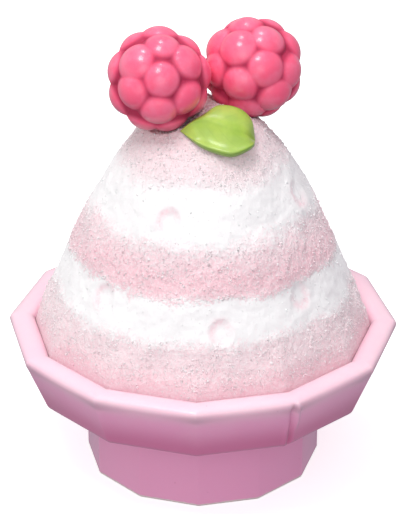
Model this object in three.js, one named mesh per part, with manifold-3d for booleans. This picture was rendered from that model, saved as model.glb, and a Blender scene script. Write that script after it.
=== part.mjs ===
// Shaved ice dessert: a mound of fine ice in five layers, white and raspberry in turn, served in
// a twelve-sided footed bowl and topped with two raspberries and a leaf.
// Millimetres, +Z up. The origin is the centre of the foot, on the table; -Y is the serving side.

import * as THREE from "three";
import { mergeVertices } from "three/addons/utils/BufferGeometryUtils.js";
import Module from "manifold-3d";

const wasm = await Module();
wasm.setup();

// ---------------------------------------------------------------- driving dimensions

const CLEARANCE = 0.35; // left between pieces that touch
const WALL_GAP = 0.44; // between the ice and the bowl's wall, along the radius

// Bowl
const BOWL_SIDES = 12;
const BOWL_TURN = THREE.MathUtils.degToRad(-2); // of a corner from the serving side
const RIM_RADIUS = 55; // to a corner of the rim
const RIM_TOP = 43;
const RIM_INNER_RADIUS = 47.6; // to a corner, where the rounded rim meets the inner wall
const RIM_INNER_HEIGHT = 40.8;
const BAND_TOP_RADIUS = 54.4; // to a corner, where the rim's slanted outer face ends under its crest
const BAND_TOP_HEIGHT = 39.6;
const BAND_FOOT_RADIUS = 49.1; // and where that face starts, over the bowl's underside
const BAND_FOOT_HEIGHT = 27;
const WALL_FOOT_RADIUS = 42.3; // to a corner, where the straight inner wall meets the round floor
const WALL_FOOT_HEIGHT = 29;
const FOOT_RADIUS = 33.3;
const FOOT_HEIGHT = 17.5; // straight side of the foot
const FOOT_RING_WIDTH = 5;
const FOOT_BEVEL = 0.3; // rounding of the foot's lower edge
const FOOT_RECESS = 1.6;
const BOWL_FLOOR = 9; // height of the hollow's lowest point
const CORNER_ROUNDING = 0.03; // radius of a plan corner, as a share of the plan's own radius

// Nick in the rim: an upright crease in its outer face, along the corner right of the front
const NICK_ANGLE = THREE.MathUtils.degToRad(-62.5);
const NICK_WIDTH = 2.4;
const NICK_LENGTH = 16;
const NICK_DEPTH = 1.2;
const NICK_HEIGHT = 34.5; // of its middle
const NICK_INSET = 2.7; // of its middle from the rim's widest corner
const NICK_LEAN = THREE.MathUtils.degToRad(7); // sideways
const NICK_TILT = THREE.MathUtils.degToRad(23); // with the slope of the rim's face

// Ice
const ICE_TOP = 108.6;
const ICE_COLUMNS = 72; // round the mound, six to a side of the bowl
const LUMP_SIZE = 7; // width of the soft lumps
const LUMP_HEIGHT = 0.55;
const SEAM_WAVE = 0.9; // how far a layer's edge wanders up and down
const ROUND_HEIGHT = 58; // below it the mound's plan turns from round to the bowl's twelve sides
const DENT_RADIUS = 3.6;
const DENT_DEPTH = 0.9;

// Raspberries
const BERRY_RADIUS = 14.6;
const BERRY_STRETCH = 1.04; // length along its axis over its width
const DRUPELET_RADIUS = 6.6; // of the largest
const DRUPELET_SPREAD = 0.07; // how much smaller the smallest is
const DRUPELET_SCATTER = 0.07; // how far one lies off its even place, as a share of its distance
const BERRY_CORE = 11.6; // least distance from the berry's middle to its skin
const HOLLOW_FLOOR = 6.5; // and to the floor of the hollow at its back
const HOLLOW_EDGE = THREE.MathUtils.degToRad(22); // of the hollow's mouth, seen from the middle

// Leaf
const LEAF_THICKNESS = 1;
const LEAF_SWELL = 0.5; // of the half above the midrib
const LEAF_ROLL = 2.6; // of the half below it, whose swell lies close to the edge

// ---------------------------------------------------------------- shared helpers

// A closed surface from rows of points. Each row runs once round the axis, anticlockwise seen
// from above; the first and last rows are single points on the axis.
function closedRows(rows) {
  const coordinates = [];
  const addTriangle = (a, b, c) => coordinates.push(...a, ...b, ...c);
  for (let i = 0; i + 1 < rows.length; i++) {
    const [low, high] = [rows[i], rows[i + 1]];
    const count = Math.max(low.length, high.length);
    for (let j = 0; j < count; j++) {
      const next = (j + 1) % count;
      if (low.length === 1) {
        addTriangle(low[0], high[next], high[j]);
      } else if (high.length === 1) {
        addTriangle(low[j], low[next], high[0]);
      } else {
        addTriangle(low[j], low[next], high[next]);
        addTriangle(low[j], high[next], high[j]);
      }
    }
  }
  return new THREE.BufferGeometry().setAttribute(
    "position",
    new THREE.Float32BufferAttribute(coordinates, 3),
  );
}

const polar = (radius, angle, z) =>
  new THREE.Vector3(radius * Math.cos(angle), radius * Math.sin(angle), z);

function toSolid(geometry) {
  const bare = new THREE.BufferGeometry().setAttribute("position", geometry.getAttribute("position"));
  if (geometry.index) bare.setIndex(geometry.index);
  const merged = mergeVertices(bare, 1e-4);
  return new wasm.Manifold(
    new wasm.Mesh({
      numProp: 3,
      vertProperties: new Float32Array(merged.attributes.position.array),
      triVerts: new Uint32Array(merged.index.array),
    }),
  );
}

function toGeometry(solid) {
  const mesh = solid.getMesh();
  const geometry = new THREE.BufferGeometry();
  geometry.setAttribute("position", new THREE.Float32BufferAttribute(mesh.vertProperties, 3));
  geometry.setIndex(new THREE.BufferAttribute(mesh.triVerts, 1));
  return geometry.toNonIndexed();
}

function namedMesh(name, geometry, material) {
  geometry.computeVertexNormals();
  const mesh = new THREE.Mesh(geometry, material);
  mesh.name = name;
  return mesh;
}

// Repeatable noise: one value from 0 to 1 for each whole-number cell, smoothed between cells.
function cellValue(x, y, z) {
  const mixed = Math.sin(x * 127.1 + y * 311.7 + z * 74.7) * 43758.5453;
  return mixed - Math.floor(mixed);
}

function smoothNoise(point) {
  const cell = point.clone().floor();
  const part = point.clone().sub(cell);
  const ease = (t) => t * t * (3 - 2 * t);
  const [u, v, w] = [ease(part.x), ease(part.y), ease(part.z)];
  const at = (i, j, k) => cellValue(cell.x + i, cell.y + j, cell.z + k);
  const alongX = (j, k) => THREE.MathUtils.lerp(at(0, j, k), at(1, j, k), u);
  const alongY = (k) => THREE.MathUtils.lerp(alongX(0, k), alongX(1, k), v);
  return THREE.MathUtils.lerp(alongY(0), alongY(1), w);
}

// ---------------------------------------------------------------- materials

const glaze = new THREE.MeshStandardMaterial({ color: 0xe99bbd, roughness: 0.22, metalness: 0 });
const syrupIce = new THREE.MeshStandardMaterial({ color: 0xf0ced6, roughness: 0.75, metalness: 0 });
const whiteIce = new THREE.MeshStandardMaterial({ color: 0xfafafb, roughness: 0.75, metalness: 0 });
const raspberry = new THREE.MeshStandardMaterial({ color: 0xe8557f, roughness: 0.18, metalness: 0 });
const leafGreen = new THREE.MeshStandardMaterial({ color: 0xadc65f, roughness: 0.4, metalness: 0 });

// ---------------------------------------------------------------- bowl

// Radius of the twelve-sided plan at an angle, as a share of its radius at a corner. The flats
// are lines and the corners arcs.
const HALF_SIDE = Math.PI / BOWL_SIDES;
const ARC_CENTRE = 1 - CORNER_ROUNDING;
const ARC_END = Math.atan2(
  CORNER_ROUNDING * Math.sin(HALF_SIDE),
  ARC_CENTRE + CORNER_ROUNDING * Math.cos(HALF_SIDE),
);

function planShare(angle) {
  const turned = angle - BOWL_TURN;
  const fromCorner = Math.abs(turned - Math.round(turned / (2 * HALF_SIDE)) * 2 * HALF_SIDE);
  if (fromCorner < ARC_END) {
    const across = ARC_CENTRE * Math.sin(fromCorner);
    return ARC_CENTRE * Math.cos(fromCorner) + Math.sqrt(CORNER_ROUNDING ** 2 - across ** 2);
  }
  const flatDistance = ARC_CENTRE * Math.cos(HALF_SIDE) + CORNER_ROUNDING;
  return flatDistance / Math.cos(HALF_SIDE - fromCorner);
}

// The hollow, from its centre up the inner wall to the rim, as radius and height at a corner.
function hollowOutline() {
  const path = new THREE.Path();
  path.moveTo(0, BOWL_FLOOR);
  path.bezierCurveTo(20, BOWL_FLOOR, 31.5, 19.5, WALL_FOOT_RADIUS, WALL_FOOT_HEIGHT);
  path.lineTo(RIM_INNER_RADIUS, RIM_INNER_HEIGHT);
  return path.getPoints(7);
}

// The outside, from the centre of the recess under the foot to the top of the rim.
function outsideOutline() {
  const ringInner = FOOT_RADIUS - FOOT_RING_WIDTH;
  const path = new THREE.Path();
  path.moveTo(0, FOOT_RECESS);
  path.lineTo(ringInner, FOOT_RECESS);
  path.lineTo(ringInner + 1, 0);
  path.lineTo(FOOT_RADIUS - FOOT_BEVEL, 0);
  path.quadraticCurveTo(FOOT_RADIUS, 0, FOOT_RADIUS, FOOT_BEVEL);
  path.lineTo(FOOT_RADIUS, FOOT_HEIGHT);
  path.quadraticCurveTo(FOOT_RADIUS + 0.3, FOOT_HEIGHT + 1.6, FOOT_RADIUS + 3, FOOT_HEIGHT + 2.4);
  path.lineTo(BAND_FOOT_RADIUS - 1.5, BAND_FOOT_HEIGHT - 1.9);
  path.quadraticCurveTo(BAND_FOOT_RADIUS - 0.4, BAND_FOOT_HEIGHT - 1.3, BAND_FOOT_RADIUS, BAND_FOOT_HEIGHT);
  path.lineTo(BAND_TOP_RADIUS, BAND_TOP_HEIGHT);
  path.bezierCurveTo(RIM_RADIUS + 0.9, RIM_TOP - 1.2, RIM_RADIUS - 0.3, RIM_TOP, RIM_RADIUS - 4.2, RIM_TOP);
  path.bezierCurveTo(49.2, RIM_TOP, 48.2, 42.4, RIM_INNER_RADIUS, RIM_INNER_HEIGHT);
  return path.getPoints(5);
}

// A slanted, pointed groove that the rim's outer face carries.
function nickTool() {
  const tool = toSolid(new THREE.SphereGeometry(1, 14, 10));
  const size = [NICK_DEPTH * 2, NICK_WIDTH, NICK_LENGTH];
  const middle = polar(RIM_RADIUS - NICK_INSET, NICK_ANGLE, NICK_HEIGHT);
  const lean = new THREE.Matrix4()
    .makeTranslation(middle)
    .multiply(new THREE.Matrix4().makeRotationZ(NICK_ANGLE))
    .multiply(new THREE.Matrix4().makeRotationX(NICK_LEAN))
    .multiply(new THREE.Matrix4().makeRotationY(NICK_TILT))
    .multiply(new THREE.Matrix4().makeScale(...size.map((s) => s / 2)));
  return tool.transform(lean.elements);
}

function makeBowl() {
  const angles = [];
  for (let side = 0; side < BOWL_SIDES; side++) {
    const corner = BOWL_TURN + side * 2 * HALF_SIDE;
    angles.push(corner - ARC_END, corner, corner + ARC_END);
  }
  const outline = [...outsideOutline(), ...hollowOutline().reverse().slice(1)];
  const rows = outline.map(({ x, y }) =>
    x === 0 ? [polar(0, 0, y)] : angles.map((angle) => polar(x * planShare(angle), angle, y)),
  );
  return toGeometry(toSolid(closedRows(rows)).subtract(nickTool()));
}

// ---------------------------------------------------------------- ice

// Half of the mound's outline, from the inner edge of the bowl's rim, which the ice fills, to its top.
const moundOutline = new THREE.SplineCurve(
  [
    [RIM_INNER_RADIUS - WALL_GAP, RIM_INNER_HEIGHT],
    [45.8, 46.5],
    [42.9, 53],
    [39.3, 61],
    [35.2, 70.5],
    [30.6, 80.5],
    [24.9, 90.5],
    [18.6, 99],
    [12.5, 105.2],
    [6.5, 107.9],
    [0, ICE_TOP],
  ].map(([radius, z]) => new THREE.Vector2(radius, z)),
).getPoints(220);

function outlineRadius(z) {
  const above = moundOutline.findIndex((p) => p.y >= z);
  if (above < 0) return 0;
  if (above === 0) return moundOutline[0].x;
  const [a, b] = [moundOutline[above - 1], moundOutline[above]];
  return THREE.MathUtils.mapLinear(z, a.y, b.y, a.x, b.x);
}

// Small round dents: angle from the serving side in degrees, and height.
const DENTS = [
  [-44, 63],
  [7, 58.5],
  [44, 63.2],
  [-19, 85],
  [69, 85.5],
  [112, 61],
  [158, 84],
  [-156, 60],
  [-103, 84.5],
].map(([degrees, z]) => [THREE.MathUtils.degToRad(degrees - 90), z]);

function dentDepth(angle, z) {
  let depth = 0;
  for (const [dentAngle, dentZ] of DENTS) {
    const turn = Math.atan2(Math.sin(angle - dentAngle), Math.cos(angle - dentAngle));
    const distance = Math.hypot(turn * outlineRadius(dentZ), z - dentZ) / DENT_RADIUS;
    if (distance < 1) depth = Math.max(depth, DENT_DEPTH * (1 - distance ** 2));
  }
  return depth;
}

function moundRadius(angle, z) {
  const smooth = outlineRadius(z);
  const lump = smoothNoise(polar(smooth, angle, z).divideScalar(LUMP_SIZE)) - 0.5;
  const fade = Math.min(1, smooth / LUMP_SIZE, (z - RIM_INNER_HEIGHT) / LUMP_SIZE);
  const roundness = THREE.MathUtils.smoothstep(z, RIM_INNER_HEIGHT, ROUND_HEIGHT);
  const plan = THREE.MathUtils.lerp(planShare(angle), 1, roundness);
  return smooth * plan + (2 * LUMP_HEIGHT * lump - dentDepth(angle, z)) * fade;
}

// Height of the seam above layer 0, 1, 2 or 3, which wanders round the mound.
const SEAMS = [55.6, 67, 80.6, 92.6];
const seamHeight = (seam, angle) =>
  SEAMS[seam] +
  SEAM_WAVE * (0.6 * Math.sin(3 * angle + 2.1 * seam) + 0.4 * Math.sin(7 * angle + 4 * seam));

const columnAngles = Array.from(
  { length: ICE_COLUMNS },
  (_, j) => BOWL_TURN + (j * 2 * Math.PI) / ICE_COLUMNS,
);

// The rows of a flat end of a layer, from its middle out to just inside its edge.
function seamRows(seam, lift) {
  const middle = SEAMS[seam] + lift;
  const ring = (share) =>
    columnAngles.map((angle) => {
      const edge = seamHeight(seam, angle) + lift;
      const z = THREE.MathUtils.lerp(middle, edge, share ** 2);
      return polar(share * moundRadius(angle, edge), angle, z);
    });
  return [[polar(0, 0, middle)], ring(0.55)];
}

// The rows of a layer's side, between two heights given for each angle.
const sideRows = (count, lowAt, highAt, ease = (t) => t) =>
  Array.from({ length: count + 1 }, (_, k) =>
    columnAngles.map((angle) => {
      const z = THREE.MathUtils.lerp(lowAt(angle), highAt(angle), ease(k / count));
      return polar(moundRadius(angle, z), angle, z);
    }),
  );

// The lowest layer fills the bowl, just clear of its wall, and sweeps up from the rim into the
// side of the mound.
function makeBaseLayer() {
  const wall = hollowOutline();
  const rows = [[polar(0, 0, BOWL_FLOOR + WALL_GAP)]];
  wall.slice(1, -1).forEach((point, i) => {
    const along = wall[i + 2].clone().sub(wall[i]).normalize();
    const radius = point.x - along.y * WALL_GAP;
    const height = point.y + along.x * WALL_GAP;
    rows.push(columnAngles.map((angle) => polar(radius * planShare(angle), angle, height)));
  });
  const top = (angle) => seamHeight(0, angle) - CLEARANCE / 2;
  rows.push(...sideRows(6, () => RIM_INNER_HEIGHT, top));
  rows.push(...seamRows(0, -CLEARANCE / 2).reverse());
  return closedRows(rows);
}

function makeMiddleLayer(layer) {
  const low = (angle) => seamHeight(layer - 1, angle) + CLEARANCE / 2;
  const high = (angle) => seamHeight(layer, angle) - CLEARANCE / 2;
  return closedRows([
    ...seamRows(layer - 1, CLEARANCE / 2),
    ...sideRows(4, low, high),
    ...seamRows(layer, -CLEARANCE / 2).reverse(),
  ]);
}

// The top layer, with a seat pressed into it for each berry.
function makeCapLayer(seats) {
  const low = (angle) => seamHeight(3, angle) + CLEARANCE / 2;
  const quarterTurn = (t) => Math.sin((t * Math.PI) / 2);
  const side = sideRows(7, low, () => ICE_TOP, quarterTurn).slice(0, -1);
  const whole = closedRows([...seamRows(3, CLEARANCE / 2), ...side, [polar(0, 0, ICE_TOP)]]);
  return toGeometry(seats.reduce((solid, seat) => solid.subtract(seat), toSolid(whole)));
}

// ---------------------------------------------------------------- raspberries

// Directions of the drupelets from the berry's middle: rings from the tip back to the hollow.
function drupeletDirections() {
  const rings = [
    { tilt: 0, count: 1, start: 0 },
    { tilt: 46, count: 6, start: 0 },
    { tilt: 88, count: 9, start: 0.5 },
    { tilt: 131, count: 6, start: 0.25 },
  ];
  return rings.flatMap(({ tilt, count, start }) =>
    Array.from({ length: count }, (_, k) =>
      new THREE.Vector3().setFromSphericalCoords(
        1,
        THREE.MathUtils.degToRad(tilt),
        (2 * Math.PI * (k + start)) / count,
      ),
    ),
  );
}

// Distance from the berry's middle to its skin, in a direction: the furthest drupelet wins. At
// the back, where the berry was picked off its stalk, the skin sinks into a hollow.
function makeBerry(seed) {
  const drupelets = drupeletDirections().map((direction, i) => {
    const shift = [1, 2, 3].map((axis) => DRUPELET_SCATTER * (2 * cellValue(i, seed, axis) - 1));
    direction.add(new THREE.Vector3(...shift)).normalize();
    const radius = DRUPELET_RADIUS * (1 - DRUPELET_SPREAD * cellValue(i, seed, 0));
    return { direction, reach: BERRY_RADIUS - DRUPELET_RADIUS, radius };
  });
  const geometry = new THREE.IcosahedronGeometry(1, 7);
  const position = geometry.getAttribute("position");
  const direction = new THREE.Vector3();
  for (let i = 0; i < position.count; i++) {
    direction.fromBufferAttribute(position, i).normalize();
    let skin = BERRY_CORE;
    for (const drupelet of drupelets) {
      const along = direction.dot(drupelet.direction) * drupelet.reach;
      const offset2 = drupelet.reach ** 2 - along ** 2;
      if (along > 0 && offset2 < drupelet.radius ** 2) {
        skin = Math.max(skin, along + Math.sqrt(drupelet.radius ** 2 - offset2));
      }
    }
    const fromBack = Math.acos(-direction.y);
    const onRim = THREE.MathUtils.smoothstep(fromBack, HOLLOW_EDGE * 0.6, HOLLOW_EDGE);
    direction.multiplyScalar(THREE.MathUtils.lerp(HOLLOW_FLOOR, skin, onRim));
    position.setXYZ(i, direction.x, direction.y * BERRY_STRETCH, direction.z);
  }
  geometry.deleteAttribute("normal");
  geometry.deleteAttribute("uv");
  return geometry;
}

// Where each berry sits, and how it is turned: its own +Y is its tip.
const BERRIES = [
  { name: "raspberry_left", centre: [-11.9, -4.4, 116.7], turn: [246.5, 175.5, 57.1] },
  { name: "raspberry_right", centre: [13.6, 8.3, 115.1], turn: [224.1, 199.3, 233.5] },
];

function placeBerry(mesh, { centre, turn }) {
  const tipUp = new THREE.Quaternion().setFromAxisAngle(new THREE.Vector3(1, 0, 0), Math.PI / 2);
  mesh.position.set(...centre);
  mesh.rotation.set(...turn.map(THREE.MathUtils.degToRad));
  mesh.quaternion.multiply(tipUp);
  mesh.updateMatrix();
}

// The room a berry takes in the ice: a smooth ball a little larger than the berry.
function berrySeat({ centre }) {
  const ball = toSolid(new THREE.SphereGeometry(BERRY_RADIUS + CLEARANCE, 40, 26));
  return ball.translate(centre);
}

// ---------------------------------------------------------------- leaf

// The leaf's three lengthways lines, from its broad end on the right to its tip on the left. It
// lies on the ice in front of the berries, and its upper edge leans on the right one.
const leafLine = (points) =>
  new THREE.CatmullRomCurve3(
    points.map((point) => new THREE.Vector3(...point)),
    false,
    "centripetal",
  );
const LEAF_END = [14.1, -11.4, 101.9];
const LEAF_TIP = [-6.1, -12.2, 105.1];
const leafUpperEdge = leafLine([
  LEAF_END,
  [13.1, -9.4, 107.0],
  [10.1, -8.0, 109.7],
  [4.3, -7.4, 110.5],
  [0.2, -9.8, 108.9],
  [-2.9, -11.8, 107.8],
  LEAF_TIP,
]);
const leafMidrib = leafLine([
  LEAF_END,
  [11.0, -14.9, 105.4],
  [5.8, -14.8, 107.3],
  [0.4, -13.0, 108.3],
  [-3.0, -13.6, 107.6],
  LEAF_TIP,
]);
const leafLowerEdge = leafLine([
  LEAF_END,
  [13.2, -16.5, 102.0],
  [7.9, -19.3, 100.7],
  [2.6, -18.1, 101.4],
  [-1.3, -16.7, 102.8],
  LEAF_TIP,
]);

// A point of the leaf: t runs along it, s across it from the lower edge (-1) to the upper (1),
// and side is 1 on its face and -1 on its back. Each half swells beside the midrib's groove, the
// lower one close to its edge, which rolls under.
const leafFacing = new THREE.Vector3(0.02, -0.74, 0.67).normalize();
function leafPoint(t, s, side) {
  const edge = s > 0 ? leafUpperEdge : leafLowerEdge;
  const outward = Math.abs(s);
  const upperSwell = LEAF_SWELL * Math.sin(Math.PI * outward ** 0.8);
  const lowerSwell = LEAF_ROLL * outward ** 6 * (1 - outward ** 12);
  const swell = (s > 0 ? upperSwell : lowerSwell) * (1 - (2 * t - 1) ** 4);
  const thickness = LEAF_THICKNESS * (1 - 0.6 * outward ** 4) * (1 - (2 * t - 1) ** 8);
  return leafMidrib
    .getPoint(t)
    .lerp(edge.getPoint(t), outward)
    .addScaledVector(leafFacing, swell + (side * thickness) / 2);
}

// Face and back are split into the same triangles, and a strip closes each long edge.
function makeLeaf() {
  const [lengthSteps, widthSteps] = [20, 10];
  const coordinates = [];
  const addTriangle = (a, b, c) => {
    const area = new THREE.Triangle(a, b, c).getArea();
    if (area > 1e-5) coordinates.push(...a, ...b, ...c);
  };
  const addQuad = (a, b, c, d) => {
    addTriangle(a, b, c);
    addTriangle(a, c, d);
  };
  const at = (k, m, side) => leafPoint(k / lengthSteps, (2 * m) / widthSteps - 1, side);
  for (let k = 0; k < lengthSteps; k++) {
    for (let m = 0; m < widthSteps; m++) {
      const corners = [
        [k, m],
        [k, m + 1],
        [k + 1, m + 1],
        [k + 1, m],
      ];
      const cell = (side) => corners.map(([row, column]) => at(row, column, side));
      const [a, b, c, d] = cell(1);
      addQuad(a, b, c, d);
      const [e, f, g, h] = cell(-1);
      addTriangle(e, g, f);
      addTriangle(e, h, g);
    }
    addQuad(at(k, 0, -1), at(k, 0, 1), at(k + 1, 0, 1), at(k + 1, 0, -1));
    const last = widthSteps;
    addQuad(at(k, last, 1), at(k, last, -1), at(k + 1, last, -1), at(k + 1, last, 1));
  }
  return new THREE.BufferGeometry().setAttribute(
    "position",
    new THREE.Float32BufferAttribute(coordinates, 3),
  );
}

// ---------------------------------------------------------------- assembly

const dessert = new THREE.Group();
dessert.add(namedMesh("bowl", makeBowl(), glaze));
dessert.add(namedMesh("ice_syrup_base", makeBaseLayer(), syrupIce));
dessert.add(namedMesh("ice_white_lower", makeMiddleLayer(1), whiteIce));
dessert.add(namedMesh("ice_syrup_middle", makeMiddleLayer(2), syrupIce));
dessert.add(namedMesh("ice_white_upper", makeMiddleLayer(3), whiteIce));
dessert.add(namedMesh("ice_syrup_cap", makeCapLayer(BERRIES.map(berrySeat)), syrupIce));
BERRIES.forEach((berry, i) => {
  const mesh = namedMesh(berry.name, makeBerry(i + 1), raspberry);
  placeBerry(mesh, berry);
  dessert.add(mesh);
});
dessert.add(namedMesh("leaf", makeLeaf(), leafGreen));

export default dessert;
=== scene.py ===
# %% [markdown]
# # Shaved ice with raspberries
#
# A tall mound of shaved ice, white and raspberry pink in turn, stands in a twelve-sided glazed
# bowl, with two raspberries and a leaf on top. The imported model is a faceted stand-in for each
# piece. This lesson builds the fine pieces around it: the glazed bowl, five layers of ice with
# their loose grains, the berries and the leaf. Everything is in metres, so sizes are written in
# millimetres times MM.

import math

import bmesh
import bpy
import numpy as np
from mathutils import Matrix, Vector


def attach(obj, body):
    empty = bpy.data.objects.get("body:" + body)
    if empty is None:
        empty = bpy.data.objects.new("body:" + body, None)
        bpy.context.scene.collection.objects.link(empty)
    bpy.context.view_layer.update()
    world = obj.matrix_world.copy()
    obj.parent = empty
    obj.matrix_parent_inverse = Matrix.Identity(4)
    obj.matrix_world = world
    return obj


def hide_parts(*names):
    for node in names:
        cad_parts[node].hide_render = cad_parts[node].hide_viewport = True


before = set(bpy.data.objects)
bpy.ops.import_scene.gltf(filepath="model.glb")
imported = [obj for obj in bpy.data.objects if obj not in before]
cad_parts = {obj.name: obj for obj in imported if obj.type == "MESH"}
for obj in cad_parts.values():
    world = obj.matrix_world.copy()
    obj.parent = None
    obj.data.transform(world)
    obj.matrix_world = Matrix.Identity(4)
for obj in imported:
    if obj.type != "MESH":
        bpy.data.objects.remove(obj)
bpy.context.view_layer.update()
MM = 0.001

# %% [markdown]
# ## Sums with sockets
#
# Geometry and materials below are node trees. A tree of fifty Math nodes is hard to read, and so
# is the code that wires them one by one. A small class wraps an output socket instead, and its
# operators add the nodes: `1 - mask` adds one Subtract node. Any other node comes from
# `Graph.add`, which takes the node's type, its settings and its inputs.

# %% Wrap sockets and node trees
class Value:
    """An output socket that can stand in a Python sum."""

    def __init__(self, graph, socket):
        self.graph = graph
        self.socket = socket

    def combine(self, operation, *terms):
        if not any(isinstance(term, Value) and term.socket.type == "VECTOR" for term in terms):
            return self.graph.add("ShaderNodeMath", {"operation": operation}, dict(enumerate(terms)))[0]
        triples = [(term,) * 3 if isinstance(term, (int, float)) else term for term in terms]
        settings = {"operation": operation}
        return self.graph.add("ShaderNodeVectorMath", settings, dict(enumerate(triples)))[0]


def add_operator(sign, operation):
    """Gives sockets an operator and its reflected form, which a sum such as 1 - mask needs."""
    setattr(Value, f"__{sign}__", lambda self, other: self.combine(operation, self, other))
    setattr(Value, f"__r{sign}__", lambda self, other: self.combine(operation, other, self))


OPERATORS = {"add": "ADD", "sub": "SUBTRACT", "mul": "MULTIPLY", "truediv": "DIVIDE", "pow": "POWER"}
for sign, operation in OPERATORS.items():
    add_operator(sign, operation)


# %% Build a node tree
class Made:
    """A node that has just been added. Its outputs are read by name or number."""

    def __init__(self, graph, node):
        self.graph = graph
        self.node = node

    def __getitem__(self, key):
        return Value(self.graph, self.node.outputs[key])


class Graph:
    """A node tree under construction."""

    def __init__(self, tree):
        self.tree = tree
        self.inlets = {}

    def add(self, kind, settings=None, inputs=None):
        node = self.tree.nodes.new(kind)
        for name, value in (settings or {}).items():
            if name == "stops":
                self.set_stops(node.color_ramp, value)
            else:
                setattr(node, name, value)
        for key, value in (inputs or {}).items():
            if isinstance(value, Value):
                self.tree.links.new(value.socket, node.inputs[key])
            else:
                node.inputs[key].default_value = value
        return Made(self, node)

    @staticmethod
    def set_stops(ramp, stops):
        """Stops are pairs of a place from 0 to 1 and a grey value or a colour."""
        while len(ramp.elements) < len(stops):
            ramp.elements.new(0.5)
        for element, (place, colour) in zip(ramp.elements, stops):
            element.position = place
            is_grey = isinstance(colour, (int, float))
            element.color = (*((colour,) * 3 if is_grey else colour), 1)

    def inlet(self, name, kind):
        """A named input of a geometry tree."""
        item = self.tree.interface.new_socket(name, in_out="INPUT", socket_type=f"NodeSocket{kind}")
        self.inlets[name] = item.identifier
        source = self.tree.nodes.get("inlets") or self.tree.nodes.new("NodeGroupInput")
        source.name = "inlets"
        return Value(self, source.outputs[name])

    def finish(self, geometry, material):
        """Ends a geometry tree: real mesh with its material."""
        real = self.add("GeometryNodeRealizeInstances", {}, {0: geometry})[0]
        dressed = self.add("GeometryNodeSetMaterial", {}, {"Geometry": real, "Material": material})[0]
        self.tree.interface.new_socket("Geometry", in_out="OUTPUT", socket_type="NodeSocketGeometry")
        out = self.tree.nodes.new("NodeGroupOutput")
        self.tree.links.new(dressed.socket, out.inputs[0])

    def math(self, operation, *terms):
        return self.add("ShaderNodeMath", {"operation": operation}, dict(enumerate(terms)))[0]

    def length(self, vector):
        return self.add("ShaderNodeVectorMath", {"operation": "LENGTH"}, {0: vector})["Value"]

    def split(self, vector):
        parts = self.add("ShaderNodeSeparateXYZ", {}, {0: vector})
        return parts[0], parts[1], parts[2]

    def join(self, x, y, z):
        return self.add("ShaderNodeCombineXYZ", {}, {0: x, 1: y, 2: z})[0]

    def rise(self, value, low, high):
        """0 below low, 1 above high and a smooth step between. A high below low falls instead."""
        inputs = {"Value": value, "From Min": low, "From Max": high}
        return self.add("ShaderNodeMapRange", {"interpolation_type": "SMOOTHSTEP"}, inputs)[0]

    def mix(self, factor, first, second):
        """A colour between two others."""
        colours = [(*c, 1) if isinstance(c, tuple) else c for c in (first, second)]
        inputs = {0: factor, 6: colours[0], 7: colours[1]}
        return self.add("ShaderNodeMix", {"data_type": "RGBA"}, inputs)[2]

    def noise(self, place, scale, detail=2.0, roughness=0.5):
        """Cloudy noise from 0 to 1, about 0.5 on the average."""
        inputs = {"Vector": place, "Scale": scale, "Detail": detail, "Roughness": roughness}
        return self.add("ShaderNodeTexNoise", {}, inputs)[0]

    def cells(self, place, scale, output="Distance"):
        """Distance to the nearest of many scattered points, or that point's random colour."""
        return self.add("ShaderNodeTexVoronoi", {}, {"Vector": place, "Scale": scale})[output]

    def attribute(self, name, output="Fac"):
        """What a piece's own mesh says about a point."""
        return self.add("ShaderNodeAttribute", {"attribute_name": name})[output]


# %% [markdown]
# A finished piece is a plain mesh at the origin. The next helper runs a geometry tree once on an
# object, keeps the mesh that comes out and takes the modifier away again. A modifier's inputs go
# by their sockets' identifiers, so the graph remembers those by name.

# %% Helpers that make plain meshes
def new_object(name, mesh):
    piece = bpy.data.objects.new(name, mesh)
    bpy.context.scene.collection.objects.link(piece)
    return piece


def run_tree(piece, graph, **settings):
    modifier = piece.modifiers.new("tree", "NODES")
    modifier.node_group = graph.tree
    for name, value in settings.items():
        modifier[graph.inlets[name]] = value
    evaluated = piece.evaluated_get(bpy.context.evaluated_depsgraph_get())
    mesh = bpy.data.meshes.new_from_object(evaluated)
    piece.modifiers.clear()
    piece.data = mesh
    mesh.name = piece.name
    print(f"{piece.name}: {sum(len(p.vertices) - 2 for p in mesh.polygons)} triangles")
    return piece


def mesh_from(name, points, faces, **attributes):
    """A smooth mesh from an array of points and a list of arrays of equal faces. Attributes are
    arrays of one number or vector for each point."""
    mesh = bpy.data.meshes.new(name)
    corners = np.concatenate([block.ravel() for block in faces])
    sizes = np.concatenate([np.full(len(block), block.shape[1]) for block in faces])
    starts = np.concatenate([[0], np.cumsum(sizes)[:-1]])
    mesh.vertices.add(len(points))
    mesh.vertices.foreach_set("co", points.astype(np.float32).ravel())
    mesh.loops.add(len(corners))
    mesh.loops.foreach_set("vertex_index", corners.astype(np.int32))
    mesh.polygons.add(len(sizes))
    mesh.polygons.foreach_set("loop_start", starts.astype(np.int32))
    mesh.polygons.foreach_set("use_smooth", np.ones(len(sizes), bool))
    mesh.update(calc_edges=True)
    for label, values in attributes.items():
        is_vector = values.ndim == 2
        layer = mesh.attributes.new(label, "FLOAT_VECTOR" if is_vector else "FLOAT", "POINT")
        layer.data.foreach_set("vector" if is_vector else "value", values.astype(np.float32).ravel())
    return mesh


def new_material(name):
    """A material with an empty tree, and its graph."""
    material = bpy.data.materials.new(name)
    material.use_nodes = True
    material.node_tree.nodes.clear()
    return material, Graph(material.node_tree)


def finish_material(graph, settings, **varying):
    """Ends a material in one Principled shader: settings are uniform, the rest varies."""
    inputs = dict(settings)
    for name, value in varying.items():
        inputs[name.replace("_", " ").title()] = value
    shader = graph.add("ShaderNodeBsdfPrincipled", {}, inputs)
    graph.add("ShaderNodeOutputMaterial", {}, {"Surface": shader[0]})


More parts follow.
